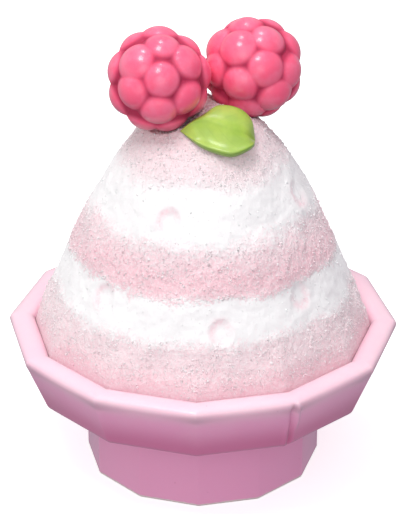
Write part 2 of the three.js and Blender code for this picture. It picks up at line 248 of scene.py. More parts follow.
def place_in_mm(graph):
    """Where a point is on the object, in millimetres."""
    return graph.add("ShaderNodeTexCoord")["Object"] * (1 / MM)


def bump(graph, height_mm, strength=1.0):
    inputs = {"Height": height_mm, "Distance": MM, "Strength": strength}
    return graph.add("ShaderNodeBump", {}, inputs)[0]


# %% [markdown]
# ## Camera
#
# The dessert is seen from a little above, from its serving side, through a long lens. The lens
# and the point that it looks at are all that place it: the camera stands back along one line.

# %% Place the camera
CAMERA_HEIGHT = math.radians(26.57)  # above the horizon
CAMERA_DISTANCE = 672.5 * MM
CAMERA_TARGET = Vector((-0.74, 0, 61.32)) * MM
FOCAL_PIXELS = 2399.3
PICTURE_HEIGHT = 514  # pixels, the picture's long side

towards_camera = Vector((0, -math.cos(CAMERA_HEIGHT), math.sin(CAMERA_HEIGHT)))
camera_data = bpy.data.cameras.new("camera")
camera = new_object("camera", camera_data)
camera_data.sensor_width = 36
camera_data.lens = FOCAL_PIXELS * camera_data.sensor_width / PICTURE_HEIGHT
camera_data.clip_start = 0.01
camera.location = CAMERA_TARGET + towards_camera * CAMERA_DISTANCE
camera.rotation_euler = towards_camera.to_track_quat("Z", "Y").to_euler()
bpy.context.scene.camera = camera
print("lens, mm:", round(camera_data.lens, 1))

# %% [markdown]
# ## Light and floor
#
# Ice, glaze and fruit all need a soft light that comes from nearly everywhere, and smaller lamps
# that draw the highlights: one above the serving side, a narrow one straight overhead for the
# rim's crest, and a wide weak one in front. The world gives the soft part. It is brightest above
# and to the left, and dim below, as in a white studio with a darker table, so that undersides
# still look round. The white floor shows and takes shadows, but bounces no light, because it
# would wash those undersides out.

# %% Set the light
LAMP_DISTANCE = 0.7
LAMPS = {  # direction, width and height in metres, and power in watts
    "lamp": ((-0.2, -0.32, 0.93), 0.24, 0.24, 1.85),
    "overhead_lamp": ((-0.04, 0.26, 0.965), 0.12, 0.18, 0.75),
    "wide_lamp": ((0.03, -0.927, 0.375), 0.5, 0.5, 0.8),
}
SKY_DIRECTION = Vector((-0.42, -0.25, 0.86)).normalized()
SKY_COLOUR = (0.745, 0.745, 0.74)
GROUND_COLOUR = (0.38, 0.345, 0.40)
WHITE = (1.0, 1.0, 1.0)

for name, (direction, width, height, power) in LAMPS.items():
    direction = Vector(direction).normalized()
    lamp_data = bpy.data.lights.new(name, "AREA")
    lamp_data.shape = "ELLIPSE"
    lamp_data.size = width
    lamp_data.size_y = height
    lamp_data.energy = power
    lamp = new_object(name, lamp_data)
    lamp.location = direction * LAMP_DISTANCE + CAMERA_TARGET
    lamp.rotation_euler = direction.to_track_quat("Z", "Y").to_euler()

world = bpy.data.worlds.new("studio")
world.use_nodes = True
world.node_tree.nodes.clear()
bpy.context.scene.world = world
sky = Graph(world.node_tree)
towards = sky.add("ShaderNodeTexCoord")["Generated"]
upwards = sky.add("ShaderNodeVectorMath", {"operation": "DOT_PRODUCT"}, {0: towards, 1: SKY_DIRECTION})
soft_light = sky.mix(sky.rise(upwards["Value"], -0.7, 0.7), GROUND_COLOUR, SKY_COLOUR)
seen_directly = sky.add("ShaderNodeLightPath")["Is Camera Ray"]
shown = sky.mix(seen_directly, soft_light, WHITE)
background = sky.add("ShaderNodeBackground", {}, {"Color": shown})
sky.add("ShaderNodeOutputWorld", {}, {"Surface": background[0]})
bpy.context.scene.view_settings.view_transform = "Standard"
print("lamps:", len(LAMPS))

# %% Lay the floor
FLOOR_SIZE = 6.0

white_card, card = new_material("white card")
card_tone = card.mix(card.noise(place_in_mm(card), 0.05), (0.93, 0.93, 0.935), (0.95, 0.95, 0.95))
card_look = {"Roughness": 0.9, "Emission Strength": 0.55}
finish_material(card, card_look, base_color=card_tone, emission_color=card_tone)
floor_corners = np.array([[-1, -1, 0], [1, -1, 0], [1, 1, 0], [-1, 1, 0]]) * FLOOR_SIZE / 2
floor = new_object("floor", mesh_from("floor", floor_corners, [np.array([[0, 1, 2, 3]])]))
floor.data.materials.append(white_card)
floor.visible_diffuse = False
floor.visible_glossy = False

# %% [markdown]
# ## The bowl
#
# The bowl is slip-cast: one thick wall of glazed ceramic with a rounded rim, twelve flat sides
# and a straight foot. Its section is one outline. Swept round a circle, the outline would give a
# turned bowl. Here its radius is scaled by a twelve-sided plan with rounded corners, which is a
# rule, so a geometry tree makes it: a flat grid is wrapped round, one row for each step along the
# outline and one column for each step round the plan.

# %% Draw the bowl's section
BOWL_SIDES = 12
BOWL_TURN = math.radians(-2)  # of a corner from the serving side
CORNER_ROUNDING = 0.03  # radius of a plan corner, as a share of the plan's radius
FOOT_RADIUS = 33.3
FOOT_HEIGHT = 17.5
FOOT_BEVEL = 0.3
RIM_CORNER = (55.75, 41.8)  # control point of the crest's outer curve
RIM_TOP = 43.0
RIM_INNER = (47.6, 40.8)  # radius and height of the edge inside the crest
BAND_TOP = (54.4, 39.6)  # ends of the rim's slanted outer face
BAND_FOOT = (49.1, 27.0)
WALL_FOOT = (42.3, 29.0)
BOWL_FLOOR = 9.0


def bezier(start, *controls, steps=20):
    """Points along one Bezier curve, without its first."""
    points = [np.array(p, float) for p in (start, *controls)]
    order = len(points) - 1
    for step in range(1, steps + 1):
        t = step / steps
        yield sum(math.comb(order, i) * (1 - t) ** (order - i) * t**i * p for i, p in enumerate(points))


def section(*segments):
    """A section in radius and height: each segment's control points, a line having just one."""
    path = [np.array(segments[0], float)]
    for controls in segments[1:]:
        path.extend(bezier(path[-1], *controls, steps=20 if len(controls) > 1 else 1))
    return np.array(path)


bowl_section = section(
    (0, 1.6),
    [(28.3, 1.6)],
    [(29.3, 0)],
    [(FOOT_RADIUS - FOOT_BEVEL, 0)],
    [(FOOT_RADIUS, 0), (FOOT_RADIUS, FOOT_BEVEL)],
    [(FOOT_RADIUS, FOOT_HEIGHT)],
    [(FOOT_RADIUS + 0.3, FOOT_HEIGHT + 1.6), (FOOT_RADIUS + 3, FOOT_HEIGHT + 2.4)],
    [(BAND_FOOT[0] - 1.5, BAND_FOOT[1] - 1.9)],
    [(BAND_FOOT[0] - 0.4, BAND_FOOT[1] - 1.3), BAND_FOOT],
    [BAND_TOP],
    [RIM_CORNER, (54.55, RIM_TOP), (50.8, RIM_TOP)],
    [(49.2, RIM_TOP), (48.2, 42.4), RIM_INNER],
    [WALL_FOOT],
    [(31.5, 19.5), (20, BOWL_FLOOR), (0, BOWL_FLOOR)],
)


def curve_object(name, points):
    """A curve through points in radius and height, drawn in the XZ plane."""
    curve = bpy.data.curves.new(name, "CURVE")
    curve.dimensions = "3D"
    spline = curve.splines.new("POLY")
    spline.points.add(len(points) - 1)
    for target, (radius, height) in zip(spline.points, points):
        target.co = (radius * MM, 0, height * MM, 1)
    return new_object(name, curve)


section_curve = curve_object("bowl_section", bowl_section)
print("points in the bowl's section:", len(bowl_section))

# %% Sizes of the plan and of the nick in the rim
HALF_SIDE = math.pi / BOWL_SIDES
ARC_CENTRE = 1 - CORNER_ROUNDING
ARC_END = math.atan2(math.sin(HALF_SIDE), ARC_CENTRE / CORNER_ROUNDING + math.cos(HALF_SIDE))
FLAT_DISTANCE = ARC_CENTRE * math.cos(HALF_SIDE) + CORNER_ROUNDING
GATHERING = 0.85  # of the columns towards the corners
NICK_ANGLE = math.radians(-62.5)
NICK_LEAN = math.radians(-0.14)  # of turn for each millimetre of height
NICK_MIDDLE = 34.5  # height, mm
NICK_HALF_WIDTH = 1.15
NICK_DEPTH = 1.1
NICK_WANDER = 1.0
OUTER_WALL = (46.5, 48.5)  # radii over which the bowl's inner wall passes into its rim's face
NICK_START = (24.5, 27.0)  # heights over which the nick deepens from its lower end, and from its top
NICK_STOP = (42.5, 39.5)
LIP_OFFSET = 1.5  # of the raised lips beside the nick
LIP_HALF_WIDTH = 1.0
LIP_HEIGHT = 0.4
RIGHT_LIP_START = (29, 35)  # heights over which each lip rises
LEFT_LIP_START = (35, 30)
print("width of the bowl's sides, mm:", round(2 * RIM_CORNER[0] * math.sin(HALF_SIDE), 1))


# %% Wrap the section round the plan
def off_corner(graph, angle):
    """How far an angle is from the plan's nearest corner."""
    turned = angle - BOWL_TURN
    nearest = graph.math("ROUND", turned / (2 * HALF_SIDE)) * (2 * HALF_SIDE)
    return graph.math("ABSOLUTE", turned - nearest)


def bowl_tree(material):
    graph = Graph(bpy.data.node_groups.new("bowl", "GeometryNodeTree"))
    profile = graph.inlet("Section", "Object")
    columns = graph.inlet("Columns", "Int")
    rows = graph.inlet("Rows", "Int")
    grid_size = {"Size X": 1.0, "Size Y": 1.0, "Vertices X": columns, "Vertices Y": rows}
    grid = graph.add("GeometryNodeMeshGrid", {}, grid_size)
    across, along, _ = graph.split(graph.add("GeometryNodeInputPosition")[0])
    even = (across + 0.5) * (2 * math.pi)
    gathered = graph.math("SINE", (even - BOWL_TURN) * BOWL_SIDES) * (GATHERING / BOWL_SIDES)
    angle = even - gathered
    outline = graph.add("GeometryNodeObjectInfo", {}, {"Object": profile})["Geometry"]
    inputs = {"Curves": outline, "Factor": along + 0.5}
    at_step = graph.add("GeometryNodeSampleCurve", {"mode": "FACTOR"}, inputs)["Position"]
    radius, _, height = graph.split(at_step)

    # The plan: straight sides joined by arcs, as a share of the radius at a corner.
    from_corner = off_corner(graph, angle)
    sideways = graph.math("MINIMUM", graph.math("SINE", from_corner) * ARC_CENTRE, CORNER_ROUNDING)
    round_part = graph.math("SQRT", CORNER_ROUNDING**2 - sideways * sideways)
    on_arc = graph.math("COSINE", from_corner) * ARC_CENTRE + round_part
    on_flat = FLAT_DISTANCE / graph.math("COSINE", HALF_SIDE - from_corner)
    past_arc = graph.math("GREATER_THAN", from_corner, ARC_END)
    share = on_arc + (on_flat - on_arc) * past_arc

    # The nick: a crease in the outer face, from under the crest down to the face's lower edge,
    # with a lip of pushed-up clay to the right of its upper half and the left of its lower one.
    def hump(offset, half_width):
        return graph.rise(graph.math("ABSOLUTE", offset), half_width, 0.0)

    level = height / MM
    crease_angle = NICK_ANGLE + 2 * math.pi + (level - NICK_MIDDLE) * NICK_LEAN
    wander = (graph.noise(graph.join(0.0, 0.0, level), 0.22, detail=2) - 0.5) * NICK_WANDER
    off_crease = (angle - crease_angle) * radius / MM + wander
    valley = hump(off_crease, NICK_HALF_WIDTH) * NICK_DEPTH
    right_lip = hump(off_crease - LIP_OFFSET, LIP_HALF_WIDTH) * graph.rise(level, *RIGHT_LIP_START)
    left_lip = hump(off_crease + LIP_OFFSET, LIP_HALF_WIDTH) * graph.rise(level, *LEFT_LIP_START)
    on_outer_wall = graph.rise(radius / MM, *OUTER_WALL)
    between_ends = graph.rise(level, *NICK_START) * graph.rise(level, *NICK_STOP)
    nick = (valley - (right_lip + left_lip) * LIP_HEIGHT) * on_outer_wall * between_ends

    reach = radius * share - nick * MM
    place = graph.join(reach * graph.math("COSINE", angle), reach * graph.math("SINE", angle), height)
    wrapped = graph.add("GeometryNodeSetPosition", {}, {"Geometry": grid["Mesh"], "Position": place})[0]
    closed = graph.add("GeometryNodeMergeByDistance", {}, {"Geometry": wrapped, "Distance": 0.02 * MM})[0]
    smooth = graph.add("GeometryNodeSetShadeSmooth", {}, {"Geometry": closed})[0]
    graph.finish(smooth, material)
    return graph


# %% [markdown]
# Glaze is glass over clay. Light goes a little way in, so the colour is deep, and the surface
# mirrors a softbox as a soft bright band. Its colour is painted paler over the rim and on the
# inner wall, as painted light, and darker under the bulge and on the foot, as painted shade. A
# fired glaze is never quite even: it ripples like orange peel and holds a few pinholes. It also
# flows before it sets, so that it looks softer than the clay's own edges: a wide shallow bump leads
# the light round the corners of the plan. The ring that the bowl stands on is wiped clean before
# firing and stays bare clay.

# %% Glaze
GLAZE_PINK = (0.94, 0.40, 0.64)
# The second colour is painted light; the third and fourth are painted shade.
GLAZE_PAINTED_LIGHT = (0.97, 0.66, 0.76)
GLAZE_PAINTED_SHADE = (0.64, 0.15, 0.325)
GLAZE_FOOT_SHADE = (0.88, 0.375, 0.60)
BARE_CLAY = (0.80, 0.68, 0.66)
CORNER_FLOW = 0.75  # of the turn at a corner that the glaze spreads over the sides beside it
FLOW_ROUNDING = 0.008  # angle from a corner within which the bump's own crest is rounded
FLOW_CREST = 0.002  # how far that crest rises, as a share of the radius
PINHOLE_PINK = (0.62, 0.22, 0.38)
INNER_SLOPE = 0.45  # of the inner wall: how far it leans out for each millimetre of height

pink_glaze, glaze = new_material("pink glaze")
place = place_in_mm(glaze)
across_x, across_y, height = glaze.split(place)
distance = glaze.length(glaze.join(across_x, across_y, 0.0))
cloud = glaze.noise(place, 0.07, detail=3)
inside = glaze.rise(distance - height * INNER_SLOPE, 33.0, 30.5) * glaze.rise(height, 20.5, 23)
# Painted light: the rim's top and the inner wall are painted in a paler glaze colour.
painted_light_mask = glaze.math("MAXIMUM", glaze.rise(height, 35.5, RIM_TOP), inside)
colour = glaze.mix(glaze.rise(cloud, 0.35, 0.7) * 0.12 + painted_light_mask * 0.88, GLAZE_PINK, GLAZE_PAINTED_LIGHT)
# Painted shade: the glaze is painted darker under the bulge.
painted_shade_under_bulge = glaze.rise(height, 37.5, 27) * glaze.rise(height, 19.5, 22.5) * (1 - inside)
colour = glaze.mix(painted_shade_under_bulge * 0.85, colour, GLAZE_PAINTED_SHADE)
# Painted shade: the foot, below the bulge, is painted darker.
colour = glaze.mix(glaze.rise(height, 21, 18), colour, GLAZE_FOOT_SHADE)
pinhole = glaze.rise(glaze.cells(place, 0.16), 0.045, 0.02)
bare = glaze.rise(height + (glaze.noise(place, 0.5) - 0.5) * 0.5, 0.9, 0.5) * glaze.rise(distance, 36, 35)
colour = glaze.mix(pinhole * 0.35, colour, PINHOLE_PINK)
colour = glaze.mix(bare, colour, BARE_CLAY)
ripple = glaze.noise(place, 0.22, detail=1) * 0.12 + glaze.noise(place, 0.9, detail=1) * 0.012
clay_grain = glaze.noise(place, 4.0, detail=4) * 0.12

from_corner = off_corner(glaze, glaze.math("ARCTAN2", across_y, across_x))
on_side = glaze.math("TANGENT", HALF_SIDE - glaze.math("MAXIMUM", from_corner, FLOW_ROUNDING))
over_corner = glaze.math("MINIMUM", from_corner / FLOW_ROUNDING, 1.0)
corner_bump = (on_side * on_side + (1 - over_corner * over_corner) * FLOW_CREST) * distance * 0.5
flow = corner_bump * CORNER_FLOW * glaze.rise(height, 42.6, 38)
relief = ripple - pinhole * 0.05 + bare * clay_grain - flow
finish_material(
    glaze,
    {
        "IOR": 1.5,
        "Specular IOR Level": 0.25,
        "Coat Roughness": 0.14,
        "Subsurface Weight": 0.12,
        "Subsurface Radius": (1.0, 0.45, 0.6),
        "Subsurface Scale": 2 * MM,
    },
    base_color=colour,
    roughness=glaze.noise(place, 0.12) * 0.12 + 0.3 + bare * 0.45,
    coat_weight=0.7 - bare * 0.7,
    normal=bump(glaze, relief),
)

# %% Make the bowl
bowl = new_object("bowl_glazed", bpy.data.meshes.new("bowl_glazed"))
glazed_bowl = bowl_tree(pink_glaze)
run_tree(bowl, glazed_bowl, Section=section_curve, Columns=480, Rows=190)
bpy.data.objects.remove(section_curve)
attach(bowl, "root")
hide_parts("bowl")

# %% [markdown]
# ## The mound
#
# The mound has one outline, from the bowl's wall up to its rounded top, and five layers share it.
# Each layer is a closed slab between two seams that wander up and down. Neighbours take their
# seam from the same function, so they meet without a gap. The shape is a formula in two numbers,
# the angle and the height, and arrays work it out for every point at once.

# %% Sizes of the mound
ICE_TOP = 108.6
LUMP_SIZE = 7.0
LUMP_HEIGHT = 0.55
SEAM_WAVE = 0.9
DENT_RADIUS = 3.6
DENT_DEPTH = 0.9
SEAMS = (55.6, 67.0, 80.6, 92.6)
WALL_CLEARANCE = 0.05
ROUND_HEIGHT = 58  # below it the mound's plan turns from round to the bowl's twelve sides
MOUND_POINTS = (
    (RIM_INNER[0] - WALL_CLEARANCE, RIM_INNER[1]),
    (45.8, 46.5),
    (42.9, 53),
    (39.3, 61),
    (35.2, 70.5),
    (30.6, 80.5),
    (24.9, 90.5),
    (18.6, 99),
    (12.5, 105.2),
    (6.5, 107.9),
    (0, ICE_TOP),
)
# The side given last in each row is the part of a dent's ring left without syrup and painted shade.
DENTS = (  # angle round from the serving side, height, and the side that stays clear of syrup
    (-44, 63, 0),
    (7, 58.5, -60),
    (44, 63.2, 110),
    (-19, 85, -45),
    (69, 85.5, 30),
    (112, 61, 180),
    (158, 84, 90),
    (-156, 60, 0),
    (-103, 84.5, -90),
)


# %% Plan and outline of the mound
def plan_share(angle):
    """Radius of the bowl's plan at an angle, as a share of its radius at a corner."""
    turned = angle - BOWL_TURN
    from_corner = np.abs(turned - np.round(turned / (2 * HALF_SIDE)) * 2 * HALF_SIDE)
    sideways = np.minimum(ARC_CENTRE * np.sin(from_corner), CORNER_ROUNDING)
    on_arc = ARC_CENTRE * np.cos(from_corner) + np.sqrt(CORNER_ROUNDING**2 - sideways**2)
    on_flat = FLAT_DISTANCE / np.cos(HALF_SIDE - from_corner)
    return np.where(from_corner < ARC_END, on_arc, on_flat)


def smooth_path(points, steps, easing=0.0):
    """A Catmull-Rom path, evenly stepped from point to point. It runs from the second point to
    the last but one. An easing of 0.5 slows it down where the points lie close."""
    place = np.linspace(0, len(points) - 3, steps)
    first = np.minimum(place.astype(int), len(points) - 4)
    t = (place - first)[:, None]
    a, b, c, d = (np.array(points, float)[first + k] for k in range(4))
    pairs = ((a, b), (b, c), (c, d))
    ab, bc, cd = (np.linalg.norm(q - p, axis=1, keepdims=True) ** easing for p, q in pairs)
    leave = ((b - a) / ab - (c - a) / (ab + bc) + (c - b) / bc) * bc
    arrive = ((c - b) / bc - (d - b) / (bc + cd) + (d - c) / cd) * bc
    cubic = 2 * b - 2 * c + leave + arrive
    square = 3 * c - 3 * b - 2 * leave - arrive
    return cubic * t**3 + square * t**2 + leave * t + b


mound_path = smooth_path((MOUND_POINTS[0], *MOUND_POINTS, MOUND_POINTS[-1]), 600)


def outline_radius(height):
    return np.interp(height, mound_path[:, 1], mound_path[:, 0])


print("mound radius at each seam, mm:", [round(float(outline_radius(h)), 1) for h in SEAMS])

# %% Lumps, dents and seams
def cell_value(x, y, z):
    """A repeatable random number from 0 to 1 for each whole-number cell."""
    mixed = np.sin(x * 127.1 + y * 311.7 + z * 74.7) * 43758.5453
    return mixed - np.floor(mixed)


def smooth_noise(points):
    cell = np.floor(points)
    part = points - cell
    u, v, w = (part * part * (3 - 2 * part)).T
    x, y, z = cell.T
    total = 0
    for i in (0, 1):
        for j in (0, 1):
            for k in (0, 1):
                share = (u if i else 1 - u) * (v if j else 1 - v) * (w if k else 1 - w)
                total = total + share * cell_value(x + i, y + j, z + k)
    return total


def dents_at(angle, height):
    """Depth of the dents in mm, and how much syrup and painted shade lie in the ring inside their edge."""
    depth = np.zeros_like(angle)
    pool = np.zeros_like(angle)
    for degrees, dent_height, clear_side in DENTS:
        turn = angle - math.radians(degrees - 90)
        along = np.arctan2(np.sin(turn), np.cos(turn)) * outline_radius(dent_height)
        up = height - dent_height
        distance = np.hypot(along, up) / DENT_RADIUS
        depth = np.maximum(depth, DENT_DEPTH * np.clip(1 - distance**2, 0, 1))
        off_clear_side = 0.5 - 0.5 * np.cos(np.arctan2(up, along) - math.radians(clear_side))
        in_ring = np.exp(-(((distance - 0.72) / 0.3) ** 2))
        pool = np.maximum(pool, in_ring * off_clear_side**0.7)
    return depth, pool


def mound_radius(angle, height):
    """Radius of the mound, in mm, before its fine grain."""
    smooth = outline_radius(height)
    points = np.stack([smooth * np.cos(angle), smooth * np.sin(angle), height], axis=-1)
    lump = smooth_noise(points.reshape(-1, 3) / LUMP_SIZE).reshape(angle.shape) - 0.5
    over_rim = height - RIM_INNER[1]
    fade = np.clip(np.minimum(smooth, over_rim) / LUMP_SIZE, 0, 1)
    t = np.clip(over_rim / (ROUND_HEIGHT - RIM_INNER[1]), 0, 1)
    plan = plan_share(angle)
    plan += (1 - plan) * t * t * (3 - 2 * t)
    return smooth * plan + (2 * LUMP_HEIGHT * lump - dents_at(angle, height)[0]) * fade


def seam_height(seam, angle):
    wave = 0.6 * np.sin(3 * angle + 2.1 * seam) + 0.4 * np.sin(7 * angle + 4 * seam)
    return SEAMS[seam] + SEAM_WAVE * wave


print("dents:", len(DENTS))

# %% [markdown]
# Each layer's side is a grid of rows and columns, about a third of a millimetre apart, so that
# the grain of the ice can be real relief. The lowest layer fills the bowl: it follows the inner
# wall from the floor to the rim. The top layer ends in a pole, and the berries press into it.

# %% Rows of each layer
COLUMNS = 880
BERRY_RADIUS = 14.5  # from its middle to the skin of its largest drupelets
BERRY_CENTRES = {"raspberry_left": (-11.9, -4.4, 116.7), "raspberry_right": (13.6, 8.3, 115.1)}
SEAT_CLEARANCE = 0.12

around = np.arange(COLUMNS) * 2 * math.pi / COLUMNS


def ring(radius, height):
    radius, height = np.broadcast_arrays(radius, height, around)[:2]
    return np.stack([radius * np.cos(around), radius * np.sin(around), height], axis=-1)


def side_rows(count, low, high, ease=lambda t: t):
    """Rows up a layer's side between two heights, given as one number or one for each column."""
    rows = []
    for k in range(count + 1):
        height = low + (high - low) * ease(k / count) + 0 * around
        rows.append(ring(mound_radius(around, height), height))
    return rows


SEAM_SHARES = (0.02, 0.35, 0.65, 0.85, 0.95)


def seam_rows(seam):
    """Rows of a slab's flat end, from just off its middle outwards."""
    edge = seam_height(seam, around)
    rise = edge - SEAMS[seam]
    return [ring(s * mound_radius(around, edge), SEAMS[seam] + rise * s**2) for s in SEAM_SHARES]


def base_rows():
    """The lowest layer: up the bowl's wall to the rim, and up its own side to the first seam."""
    wall = section((0, BOWL_FLOOR), [(20, BOWL_FLOOR), (31.5, 19.5), WALL_FOOT], [RIM_INNER])
    rows = []
    for height in np.linspace(BOWL_FLOOR + 0.6, RIM_INNER[1] - 0.3, 36):
        radius = np.interp(height - WALL_CLEARANCE, wall[:, 1], wall[:, 0]) - WALL_CLEARANCE
        rows.append(ring(max(radius, 0.5) * plan_share(around), height))
    return rows + side_rows(48, RIM_INNER[1], seam_height(0, around)) + seam_rows(0)[::-1]


def middle_rows(layer, count):
    side = side_rows(count, seam_height(layer - 1, around), seam_height(layer, around))
    return seam_rows(layer - 1) + side + seam_rows(layer)[::-1]


def cap_rows():
    """The top layer. Points inside a berry's seat move out to the seat's surface."""
    side = side_rows(92, seam_height(3, around), ICE_TOP - 0.005, lambda t: math.sin(t * math.pi / 2))
    rows = np.array(seam_rows(3) + side)
    for centre in BERRY_CENTRES.values():
        offset = rows - np.array(centre)
        distance = np.linalg.norm(offset, axis=-1, keepdims=True)
        rows += offset / distance * np.clip(BERRY_RADIUS + SEAT_CLEARANCE - distance, 0, None)
    return list(rows)


# %% Close the rows into meshes
def closed_mesh(name, rows):
    """Rows from bottom to top, closed by a point at each end. Points of the side are marked as
    skin. The side's last edges are sharp, so that it keeps its own shading up to the seam."""
    grid = np.array(rows)
    count = len(grid)
    first_side = 0 if name == "ice_syrup_base" else len(SEAM_SHARES)
    last_side = count - 1 if name == "ice_syrup_cap" else count - 1 - len(SEAM_SHARES)
    row_number = np.arange(count)
    is_skin = (row_number >= first_side) & (row_number <= last_side)
    skin = np.append(np.repeat(is_skin, COLUMNS), [False, False])
    pool = dents_at(np.broadcast_to(around, grid.shape[:2]), grid[..., 2])[1] * is_skin[:, None]
    ends = [grid[0].mean(axis=0), grid[-1].mean(axis=0)]
    points = np.concatenate([grid.reshape(-1, 3), ends]) * MM
    row = np.arange(count - 1)[:, None] * COLUMNS
    column = np.arange(COLUMNS)[None, :]
    following = (column + 1) % COLUMNS
    above = row + COLUMNS
    sides = np.stack([row + column, row + following, above + following, above + column], axis=-1)
    last_row = (count - 1) * COLUMNS
    pole = np.full(COLUMNS, count * COLUMNS)
    bottom = np.stack([following[0], column[0], pole], axis=-1)
    top = np.stack([last_row + column[0], last_row + following[0], pole + 1], axis=-1)
    faces = [sides.reshape(-1, 4), bottom, top]
    mesh = mesh_from(name, points, faces, skin=skin, pool=np.append(pool, [0, 0]))
    corners = np.empty(2 * len(mesh.edges), np.int32)
    mesh.edges.foreach_get("vertices", corners)
    start_row, end_row = corners.reshape(-1, 2).T // COLUMNS
    is_sharp = (start_row == end_row) & np.isin(start_row, (first_side, last_side))
    mesh.attributes.new("sharp_edge", "BOOLEAN", "EDGE").data.foreach_set("value", is_sharp)
    return mesh


LAYERS = {
    "ice_syrup_base": ("syrup_ice", base_rows()),
    "ice_white_lower": ("white_ice", middle_rows(1, 34)),
    "ice_syrup_middle": ("syrup_ice", middle_rows(2, 44)),
    "ice_white_upper": ("white_ice", middle_rows(3, 40)),
    "ice_syrup_cap": ("syrup_ice", cap_rows()),
}
print("rows in each layer:", {name: len(rows) for name, (_, rows) in LAYERS.items()})

# %% [markdown]
# ## Syrup
#
# One rule says where the syrup is. It was poured on between the white layers and has soaked in,
# so a band has a deep lower edge and fades upwards, and single grains of each colour lie beyond
# every edge. A ramp over the height holds the bands. Before it is read, noise moves the height a
# little: slowly, to make the edges wander, and finely, to break them up. Sums with sockets work
# in geometry trees as well as in materials, so the rule serves both.

# %% Where the syrup lies
SYRUP_TOP = 112.0
SYRUP_STOPS = (  # height in mm, and amount of syrup
    (0, 0.9),
    (41, 0.85),
    (45, 0.72),
    (49, 0.55),
    (54, 0.46),
    (57.5, 0.0),
    (65.5, 0.0),
    (67.3, 0.8),
    (71, 0.85),
    (77, 0.55),
    (81.5, 0.0),
    (91, 0.0),
    (95, 0.4),
    (102, 0.5),
    (SYRUP_TOP, 0.6),
)


def syrup_at(graph, place, tone=0.5):
    """How much syrup the ice holds at a place, from 0 to 1."""
    _, _, height = graph.split(place)
    wander = (graph.noise(place, 0.09, detail=2) - 0.5) * 7
    broken = (graph.noise(place, 0.8, detail=3, roughness=0.65) - 0.5) * 5 + (tone - 0.5) * 2.5
    stops = [(stop / SYRUP_TOP, amount) for stop, amount in SYRUP_STOPS]
    ramp = graph.add("ShaderNodeValToRGB", {"stops": stops}, {0: (height + wander + broken) / SYRUP_TOP})
    return ramp["Color"]


# %% [markdown]
# Shaved ice packs into soft clumps with a fine grain on them. A geometry tree moves every point
# of a layer in or out by three sizes of noise: clumps of a few millimetres, crumbs of about one
# and grains of about half a millimetre. Syrup melts and binds the ice, so its bands are crumbly
# and the white ones nearly smooth. The tree reads only where the point is, and pushes along a
# direction that also depends only on that, so two layers still meet where they share a seam.

# %% Give the ice its grain
SMOOTH_SHARE = 0.2  # of the relief that is left on white ice
SETTLED = 0.5  # of the relief that has melted away beside the rim


def crumbliness(graph, place):
    return graph.rise(syrup_at(graph, place), 0.05, 0.4) * (1 - SMOOTH_SHARE) + SMOOTH_SHARE


def grain_tree(material):
    graph = Graph(bpy.data.node_groups.new("ice_grain", "GeometryNodeTree"))
    geometry = graph.inlet("Geometry", "Geometry")
    clump_height = graph.inlet("Clumps", "Float")
    crumb_height = graph.inlet("Crumbs", "Float")
    grain_height = graph.inlet("Grains", "Float")
    place = graph.add("GeometryNodeInputPosition")[0] * (1 / MM)
    x, y, z = graph.split(place)
    distance = graph.length(graph.join(x, y, 0.0))
    lift = graph.math("MAXIMUM", (z - 55) * 0.45, distance * 0.38)
    outward = graph.add("ShaderNodeVectorMath", {"operation": "NORMALIZE"}, {0: graph.join(x, y, lift)})[0]
    clumps = graph.noise(place, 0.32, detail=1) - 0.5
    crumbs = graph.noise(place, 0.95, detail=2, roughness=0.6) - 0.5
    grains = 0.42 - graph.cells(place, 1.7)
    fine = (crumbs * crumb_height + grains * grain_height) * crumbliness(graph, place)
    out_of_bowl = graph.rise(z, RIM_INNER[1] + 0.1, RIM_TOP)
    settled = graph.rise(z, 50, 42) * SETTLED
    offset = outward * ((clumps * clump_height + fine) * (1 - settled) * out_of_bowl)
    moved = graph.add("GeometryNodeSetPosition", {}, {"Geometry": geometry, "Offset": offset})[0]
    graph.finish(moved, material)
    return graph


# %% [markdown]
# White ice scatters all light alike. Syrup takes out some green and blue, and a frosted crumb on
# top of it shows pale again. The packed ice has a fine bump below the size of its real relief.

# %% Colour of the ice
SYRUP_DEEP = (0.93, 0.52, 0.60)
SYRUP_PALE = (0.98, 0.80, 0.84)
# The settled colour is syrup and melted ice beside the rim, and painted shade there too.
SETTLED_PINK_AND_SHADE = (0.68, 0.47, 0.53)  # syrup and melted ice beside the rim
ICE_WHITE = (0.93, 0.915, 0.925)


def ice_colour(graph, place, tone):
    """Colour of the ice at a place. The tone, from 0 to 1, tells one grain from the next."""
    pool = graph.attribute("pool")
    # Syrup and painted shade: a ring inside each dent's edge is tinted pink, except on its clear side.
    dent_stain_and_shade = pool * (graph.rise(graph.noise(place, 0.8, detail=2), 0.3, 0.55) * 0.3 + 0.25)
    syrup = graph.math("MAXIMUM", syrup_at(graph, place, tone), dent_stain_and_shade)
    soaked = graph.mix(syrup, ICE_WHITE, SYRUP_DEEP)
    frosting = graph.rise(graph.noise(place, 1.1, detail=3, roughness=0.7) + (tone - 0.5) * 0.3, 0.42, 0.68)
    frosted = graph.mix(frosting * 0.45, soaked, graph.mix(syrup, ICE_WHITE, SYRUP_PALE))
    # Beside the rim the ice is painted darker: settled syrup, and painted shade.
    return graph.mix(graph.rise(graph.split(place)[2], 47, 41) * 0.5, frosted, SETTLED_PINK_AND_SHADE)


